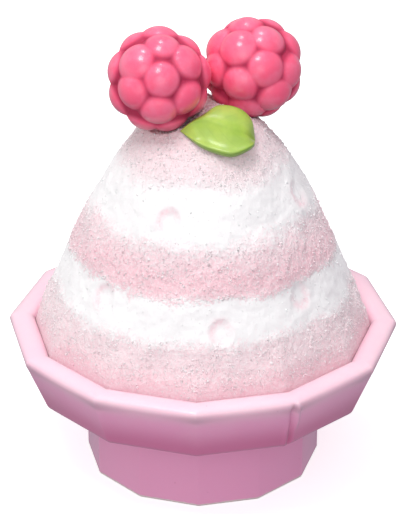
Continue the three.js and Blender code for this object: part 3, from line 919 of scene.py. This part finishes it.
def make_ice_material(name, tone_from, frost, softness):
    material, graph = new_material(name)
    place = place_in_mm(graph)
    tone = tone_from(graph, place)
    fine = graph.noise(place, 3.2, detail=3, roughness=0.7) * 0.1 + graph.cells(place, 2.6) * 0.12
    colour = ice_colour(graph, place, tone)
    finish_material(
        graph,
        {
            "IOR": 1.31,
            "Subsurface Weight": softness,
            "Subsurface Radius": (1.0, 0.9, 0.92),
            "Subsurface Scale": 0.5 * MM,
            "Sheen Weight": 0.45,
            "Sheen Roughness": 0.45,
        },
        base_color=graph.mix(frost * tone, colour, ICE_WHITE),
        roughness=0.42 + tone * 0.25,
        normal=bump(graph, fine * crumbliness(graph, place), 0.8),
    )
    return material


def cell_tone(graph, place):
    return graph.cells(place, 1.7, "Color")


packed_ice = make_ice_material("packed ice", cell_tone, frost=0.15, softness=0.1)

# %% Make the five layers
grain_relief = grain_tree(packed_ice)
ice_pieces = {}
for node, (slot, rows) in LAYERS.items():
    piece = new_object(node.replace("ice_", "shaved_"), closed_mesh(node, rows))
    run_tree(piece, grain_relief, Clumps=0.7 * MM, Crumbs=0.4 * MM, Grains=0.18 * MM)
    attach(piece, "root")
    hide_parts(node)
    ice_pieces[node] = piece

# %% [markdown]
# ## Loose grains
#
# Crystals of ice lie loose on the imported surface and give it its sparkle. A second geometry tree
# scatters them over the layers' skins: one flat-sided crystal, turned and sized at random, half
# sunk and then bent where it lies, so that no two are alike. Syrup makes the ice clump, so the
# pink bands carry many more grains than the white ones.

# %% A tree that scatters grains
def scatter_tree(material):
    graph = Graph(bpy.data.node_groups.new("loose_grains", "GeometryNodeTree"))
    layers = graph.inlet("Layers", "Collection")
    seed = graph.inlet("Seed", "Int")
    on_white = graph.inlet("On white", "Float")
    on_syrup = graph.inlet("On syrup", "Float")
    smallest = graph.inlet("Smallest", "Float")
    largest = graph.inlet("Largest", "Float")
    facets = graph.inlet("Facets", "Int")

    def random(low, high, offset):
        inputs = {2: low, 3: high, "Seed": seed + offset}
        return graph.add("FunctionNodeRandomValue", {"data_type": "FLOAT"}, inputs)[1]

    gathered = graph.add("GeometryNodeCollectionInfo", {}, {"Collection": layers})[0]
    ground = graph.add("GeometryNodeRealizeInstances", {}, {0: gathered})[0]
    place = graph.add("GeometryNodeInputPosition")[0] * (1 / MM)
    _, _, height = graph.split(place)
    syrup = graph.rise(syrup_at(graph, place), 0.02, 0.4)
    patches = graph.rise(graph.noise(place, 0.22, detail=2), 0.3, 0.62)
    skin = graph.add("GeometryNodeInputNamedAttribute", {"data_type": "FLOAT"}, {"Name": "skin"})[0]
    above_rim = graph.rise(height, 41.5, 46)
    wanted = (on_white + (on_syrup - on_white) * syrup) * (patches + 0.35) * skin * above_rim
    inputs = {"Mesh": ground, "Density": wanted, "Seed": seed}
    points = graph.add("GeometryNodeDistributePointsOnFaces", {"distribute_method": "RANDOM"}, inputs)[0]
    inputs = {"Radius": 0.5, "Segments": facets, "Rings": graph.math("CEIL", facets * 0.5)}
    crystal = graph.add("GeometryNodeMeshUVSphere", {}, inputs)[0]
    spin = graph.join(random(0, 6.28, 1), random(0, 6.28, 2), random(0, 6.28, 3))
    size = smallest + (largest - smallest) * random(0, 1, 4) ** 2.5
    shape = graph.join(size, size * random(0.6, 1.0, 5), size * random(0.45, 0.9, 6))
    inputs = {"Points": points, "Instance": crystal, "Rotation": spin, "Scale": shape}
    grains = graph.add("GeometryNodeInstanceOnPoints", {}, inputs)[0]
    settings = {"data_type": "FLOAT", "domain": "INSTANCE"}
    inputs = {"Geometry": grains, "Name": "tone", "Value": random(0, 1, 7)}
    toned = graph.add("GeometryNodeStoreNamedAttribute", settings, inputs)[0]
    real = graph.add("GeometryNodeRealizeInstances", {}, {0: toned})[0]
    bend = graph.add("ShaderNodeTexNoise", {}, {"Vector": place, "Scale": 1.6, "Detail": 0.0})["Color"]
    offset = (bend - 0.5) * (0.3 * MM)
    bent = graph.add("GeometryNodeSetPosition", {}, {"Geometry": real, "Offset": offset})[0]
    graph.finish(bent, material)
    return graph


# %% Scatter the loose grains
def named_tone(graph, place):
    return graph.attribute("tone")


loose_ice = make_ice_material("loose ice", named_tone, frost=0.5, softness=0.8)
layer_collection = bpy.data.collections.new("layers")
for piece in ice_pieces.values():
    layer_collection.objects.link(piece)
scatter = scatter_tree(loose_ice)
PER_SQUARE_MM = 1e6
GRAINS = {  # slot, seed, facets, smallest and largest size, and how many on white ice and on syrup
    "grains_dust": ("syrup_ice", 11, 4, 0.22, 0.5, 0.3, 1.9),
    "grains_fine": ("syrup_ice", 17, 4, 0.35, 0.75, 0.1, 1.2),
    "grains_coarse": ("white_ice", 29, 5, 0.5, 1.15, 0.02, 0.3),
}
for name, (slot, seed, facets, smallest, largest, on_white, on_syrup) in GRAINS.items():
    piece = new_object(name, bpy.data.meshes.new(name))
    sizes = {"Smallest": smallest * MM, "Largest": largest * MM}
    amounts = {"On white": on_white * PER_SQUARE_MM, "On syrup": on_syrup * PER_SQUARE_MM}
    run_tree(piece, scatter, Layers=layer_collection, Seed=seed, Facets=facets, **sizes, **amounts)
    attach(piece, "root")
bpy.data.collections.remove(layer_collection)

# %% [markdown]
# ## Raspberries
#
# A raspberry is a cap of drupelets, small juicy balls in rings round a hollow. Seen from the
# berry's middle, its skin lies wherever the furthest drupelet ends. So each direction from the
# middle gets one distance, and a dense ball of directions becomes the berry. A soft maximum
# instead of a sharp one lets the skins of two drupelets meet in a narrow rounded crease.

# %% Shape the raspberries
BERRY_STRETCH = 1.04
DRUPELET_RADIUS = 6.6  # of the largest
DRUPELET_SPREAD = 0.07  # how much smaller the smallest is
DRUPELET_SCATTER = 0.07  # how far one lies off its even place, as a share of its distance
BERRY_CORE = 11.6  # least distance from the middle to the skin
HOLLOW_FLOOR = 6.5  # and to the floor of the hollow at the back
HOLLOW_EDGE = math.radians(22)
CREASE_WIDTH = 0.1
DRUPELET_RINGS = ((0, 1, 0), (46, 6, 0), (88, 9, 0.5), (131, 6, 0.25))  # tilt, count, start
BERRY_TURNS = {"raspberry_left": (246.5, 175.5, 57.1), "raspberry_right": (224.1, 199.3, 233.5)}


def ball(subdivisions):
    """Points and triangles of an even ball of radius 1."""
    shape = bmesh.new()
    bmesh.ops.create_icosphere(shape, subdivisions=subdivisions, radius=1)
    points = np.array([v.co[:] for v in shape.verts])
    faces = np.array([[v.index for v in f.verts] for f in shape.faces])
    shape.free()
    return points / np.linalg.norm(points, axis=1, keepdims=True), faces


def drupelet_directions():
    directions = []
    for tilt, count, start in DRUPELET_RINGS:
        for k in range(count):
            turn = 2 * math.pi * (k + start) / count
            out = math.sin(math.radians(tilt))
            directions.append((out * math.sin(turn), math.cos(math.radians(tilt)), out * math.cos(turn)))
    return np.array(directions)


def berry_skin(directions, seed, down):
    """Distance to the skin in each direction, how deep in a crease the skin is, and how far down
    on its own drupelet, where the colour paints shade."""
    drupelets = drupelet_directions()
    number = np.arange(len(drupelets))
    shift = np.stack([2 * cell_value(number, seed, axis) - 1 for axis in (1, 2, 3)], axis=1)
    drupelets += DRUPELET_SCATTER * shift
    drupelets /= np.linalg.norm(drupelets, axis=1, keepdims=True)
    radius = DRUPELET_RADIUS * (1 - DRUPELET_SPREAD * cell_value(number, seed, 0))
    reach = BERRY_RADIUS - DRUPELET_RADIUS
    along = directions @ drupelets.T * reach
    inside = radius**2 - (reach**2 - along**2)
    hit = np.where((inside > 0) & (along > 0), along + np.sqrt(np.maximum(inside, 0)), 0)
    hit = np.concatenate([hit, np.full((len(hit), 1), BERRY_CORE)], axis=1)
    furthest = hit.max(axis=1)
    skin = furthest + CREASE_WIDTH * np.log(np.exp((hit - furthest[:, None]) / CREASE_WIDTH).sum(axis=1))
    crease = np.clip((BERRY_RADIUS - 0.6 - skin) / 1.6, 0, 1)
    from_back = np.arccos(np.clip(-directions[:, 1], -1, 1))
    t = np.clip((from_back / HOLLOW_EDGE - 0.6) / 0.4, 0, 1)
    # How far below its own drupelet's middle a point lies, for painted shade on the lower side.
    own = drupelets[hit[:, :-1].argmax(axis=1)] * reach
    juice = np.clip((directions * skin[:, None] - own) @ down / DRUPELET_RADIUS, 0, 1)
    return HOLLOW_FLOOR + (skin - HOLLOW_FLOOR) * t * t * (3 - 2 * t), crease, juice


def turn_matrix(turn):
    """Turns about X, Y and Z, the last first, after the tip is laid along +Z."""
    matrix = Matrix.Identity(3)
    for angle, axis in zip(turn, "XYZ"):
        matrix = matrix @ Matrix.Rotation(math.radians(angle), 3, axis)
    return np.array(matrix @ Matrix.Rotation(math.pi / 2, 3, "X"))


# %% [markdown]
# The skin of a drupelet is thin, tight and wet-looking over red juice. It gets a clear coat, some
# light below the surface, a darker red painted in the creases and low down on each drupelet as
# painted shade, and a faint pale bloom where it is seen on edge.

# %% Raspberry skin
# The third colour is painted shade, for the creases and the lower side of each drupelet.
BERRY_RED = (1.0, 0.105, 0.23)
BERRY_LIGHT = (1.0, 0.20, 0.34)
BERRY_PAINTED_SHADE = (0.42, 0.015, 0.07)

raspberry_skin, skin_graph = new_material("raspberry skin")
place = place_in_mm(skin_graph)
crease = skin_graph.attribute("crease")
cloud = skin_graph.noise(place, 0.2, detail=3)
speckle = skin_graph.rise(skin_graph.noise(place, 2.4, detail=2), 0.52, 0.75)
colour = skin_graph.mix(skin_graph.rise(cloud, 0.35, 0.7) * 0.7 + speckle * 0.15, BERRY_RED, BERRY_LIGHT)
juice = skin_graph.attribute("juice")
# Painted shade: darker red in the creases and on each drupelet's lower side.
crease_shade = skin_graph.rise(crease, 0.3, 0.9) * 0.95
underneath = skin_graph.rise(juice, 0.15, 0.8) * 0.65
deep = skin_graph.math("MAXIMUM", crease_shade, underneath)
colour = skin_graph.mix(deep, colour, BERRY_PAINTED_SHADE)
pores = skin_graph.noise(place, 1.4, detail=2) * 0.05 + skin_graph.noise(place, 5.0, detail=2) * 0.012
finish_material(
    skin_graph,
    {
        "IOR": 1.42,
        "Coat Roughness": 0.2,
        "Subsurface Weight": 0.15,
        "Subsurface Radius": (1.0, 0.2, 0.22),
        "Subsurface Scale": 1.6 * MM,
        "Sheen Weight": 0.05,
        "Sheen Roughness": 0.35,
        "Sheen Tint": (1.0, 0.75, 0.82, 1),
    },
    base_color=colour,
    coat_weight=skin_graph.rise(crease, 0.6, 0.2) * 0.8,
    roughness=skin_graph.noise(place, 0.8) * 0.1 + 0.3 + skin_graph.rise(crease, 0.2, 0.6) * 0.3,
    normal=bump(skin_graph, pores),
)

# %% Make the raspberries
ball_directions, ball_faces = ball(7)
for seed, (node, centre) in enumerate(BERRY_CENTRES.items(), start=1):
    turn = turn_matrix(BERRY_TURNS[node])
    skin, crease_depth, underside_shade_depth = berry_skin(ball_directions, seed, np.array([0, 0, -1]) @ turn)
    shape = ball_directions * skin[:, None] * (1, BERRY_STRETCH, 1)
    points = shape @ turn.T + np.array(centre)
    mesh = mesh_from(node, points * MM, [ball_faces], crease=crease_depth, juice=underside_shade_depth)
    berry = new_object(f"{node}_ripe", mesh)
    berry.data.materials.append(raspberry_skin)
    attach(berry, "root")
    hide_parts(node)
    print(f"{berry.name}: {len(ball_faces)} triangles")

# %% [markdown]
# ## Leaf
#
# The leaf is stretched over three lines in space: its upper edge, its midrib and its lower edge.
# A point is found by how far along the leaf it is and how far across. Each half swells between
# midrib and edge, and fine veins run out from the midrib at a slant.

# %% Stretch the leaf over its lines
LEAF_THICKNESS = 1.0
LEAF_SWELL = 0.5  # of the half above the midrib
LEAF_ROLL = 2.6  # of the half below it, whose swell lies close to the edge
LEAF_FACING = np.array(Vector((0.02, -0.74, 0.67)).normalized())
LEAF_END = (14.1, -11.4, 101.9)
LEAF_TIP = (-6.1, -12.2, 105.1)
UPPER_EDGE = (
    (13.1, -9.4, 107.0),
    (10.1, -8.0, 109.7),
    (4.3, -7.4, 110.5),
    (0.2, -9.8, 108.9),
    (-2.9, -11.8, 107.8),
)
MIDRIB = ((11.0, -14.9, 105.4), (5.8, -14.8, 107.3), (0.4, -13.0, 108.3), (-3.0, -13.6, 107.6))
LOWER_EDGE = ((13.2, -16.5, 102.0), (7.9, -19.3, 100.7), (2.6, -18.1, 101.4), (-1.3, -16.7, 102.8))
LEAF_VEINS = 7
VEIN_WIDTH = 0.09  # as a share of the gap between veins, and of half the leaf for the midrib


def leaf_line(inner_points, steps):
    """A smooth line from the leaf's end to its tip, which leaves both ends straight."""
    points = np.array((LEAF_END, *inner_points, LEAF_TIP), float)
    before_end = 2 * points[0] - points[1]
    after_tip = 2 * points[-1] - points[-2]
    return smooth_path([before_end, *points, after_tip], steps, easing=0.5)


def leaf_faces(length_steps, width_steps):
    """Points of face and back, their places along and across, and the faces between them."""
    t = np.linspace(0, 1, length_steps + 1)[:, None, None]
    s = np.linspace(-1, 1, width_steps + 1)[None, :, None]
    lines = (leaf_line(points, length_steps + 1) for points in (UPPER_EDGE, MIDRIB, LOWER_EDGE))
    upper, middle, lower = (line[:, None, :] for line in lines)
    outward = np.abs(s)
    flat = middle + (np.where(s > 0, upper, lower) - middle) * outward
    upper_swell = LEAF_SWELL * np.sin(math.pi * outward**0.8)
    lower_swell = LEAF_ROLL * outward**6 * (1 - outward**12)
    swell = np.where(s > 0, upper_swell, lower_swell) * (1 - (2 * t - 1) ** 4)
    thickness = LEAF_THICKNESS * (1 - 0.6 * outward**4) * (1 - (2 * t - 1) ** 8)
    vein_phase = (t * LEAF_VEINS + outward * 1.6) % 1 - 0.5
    mid_length = np.sin(math.pi * t)
    mid_half = np.sin(math.pi * np.clip(outward * 1.1, 0, 1))
    vein = np.exp(-((vein_phase / VEIN_WIDTH) ** 2)) * mid_half * mid_length
    rib = np.exp(-((s / VEIN_WIDTH) ** 2)) * mid_length
    relief = -0.006 * vein * np.clip(2 - 2.5 * outward, 0, 1) - 0.04 * rib
    face = flat + LEAF_FACING * (swell + thickness / 2 + relief)
    back = flat + LEAF_FACING * (swell - thickness / 2 + relief)
    span = np.broadcast_to(np.concatenate([t + 0 * s, s + 0 * t, vein + rib], axis=2), face.shape)
    columns = width_steps + 1
    corner = (np.arange(length_steps)[:, None] * columns + np.arange(width_steps)[None, :]).ravel()
    quads = np.stack([corner, corner + 1, corner + columns + 1, corner + columns], axis=1)
    behind = (length_steps + 1) * columns
    low = np.arange(length_steps) * columns
    high = low + width_steps
    low_strip = np.stack([low + behind, low, low + columns, low + columns + behind], axis=1)
    high_strip = np.stack([high, high + behind, high + columns + behind, high + columns], axis=1)
    points = np.concatenate([face.reshape(-1, 3), back.reshape(-1, 3)])
    spans = np.concatenate([span.reshape(-1, 3), span.reshape(-1, 3)])
    return points, spans, [quads, quads[:, ::-1] + behind, low_strip, high_strip]


def merged(piece, distance):
    """Joins the points that lie on each other, as at the leaf's tip and end."""
    shape = bmesh.new()
    shape.from_mesh(piece.data)
    bmesh.ops.remove_doubles(shape, verts=shape.verts, dist=distance)
    shape.to_mesh(piece.data)
    shape.free()


# %% [markdown]
# The leaf's blade is waxy, with a broad soft shine away from its midrib. It is yellower towards
# the tip, darker along the ribs and at its thin edge, and a little light goes into it. Its lower
# edge, where it rolls under, is painted darker as painted shade.

# %% Leaf green
LEAF_GREEN = (0.33, 0.50, 0.06)
LEAF_YELLOW = (0.46, 0.62, 0.09)
LEAF_DARK = (0.12, 0.26, 0.03)

leaf_green, blade = new_material("leaf green")
place = place_in_mm(blade)
along, across, ribs = blade.split(blade.attribute("span", "Vector"))
cloud = blade.noise(place, 0.25, detail=3)
yellowed = blade.rise(cloud, 0.35, 0.7) * 0.6 + blade.rise(along, 0.3, 0.9) * 0.4
colour = blade.mix(yellowed, LEAF_GREEN, LEAF_YELLOW)
from_midrib = blade.math("ABSOLUTE", across)
near_edge = blade.rise(from_midrib, 0.86, 1.0)
# Painted shade: the lower edge, where it rolls under, is painted darker.
rolled_under_shade = blade.rise(across, -0.86, -0.97)
colour = blade.mix(near_edge * 0.3 + rolled_under_shade * 0.4 + blade.rise(ribs, 0.1, 0.9) * 0.1, colour, LEAF_DARK)
cell_grain = blade.cells(place, 2.2) * 0.012 + blade.noise(place, 0.9, detail=3) * 0.012
finish_material(
    blade,
    {
        "IOR": 1.45,
        "Coat Roughness": 0.28,
        "Subsurface Weight": 0.15,
        "Subsurface Radius": (0.5, 1.0, 0.15),
        "Subsurface Scale": 0.8 * MM,
    },
    base_color=colour,
    coat_weight=blade.rise(from_midrib, 0.15, 0.4) * 0.8,
    roughness=blade.noise(place, 0.5) * 0.15 + 0.45,
    normal=bump(blade, cell_grain),
)

# %% Make the leaf
leaf_points, leaf_spans, leaf_quads = leaf_faces(150, 64)
leaf = new_object("leaf_waxy", mesh_from("leaf_waxy", leaf_points * MM, leaf_quads, span=leaf_spans))
merged(leaf, 0.005 * MM)
leaf.data.materials.append(leaf_green)
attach(leaf, "root")
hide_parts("leaf")
print(f"{leaf.name}: {2 * len(leaf.data.polygons)} triangles")
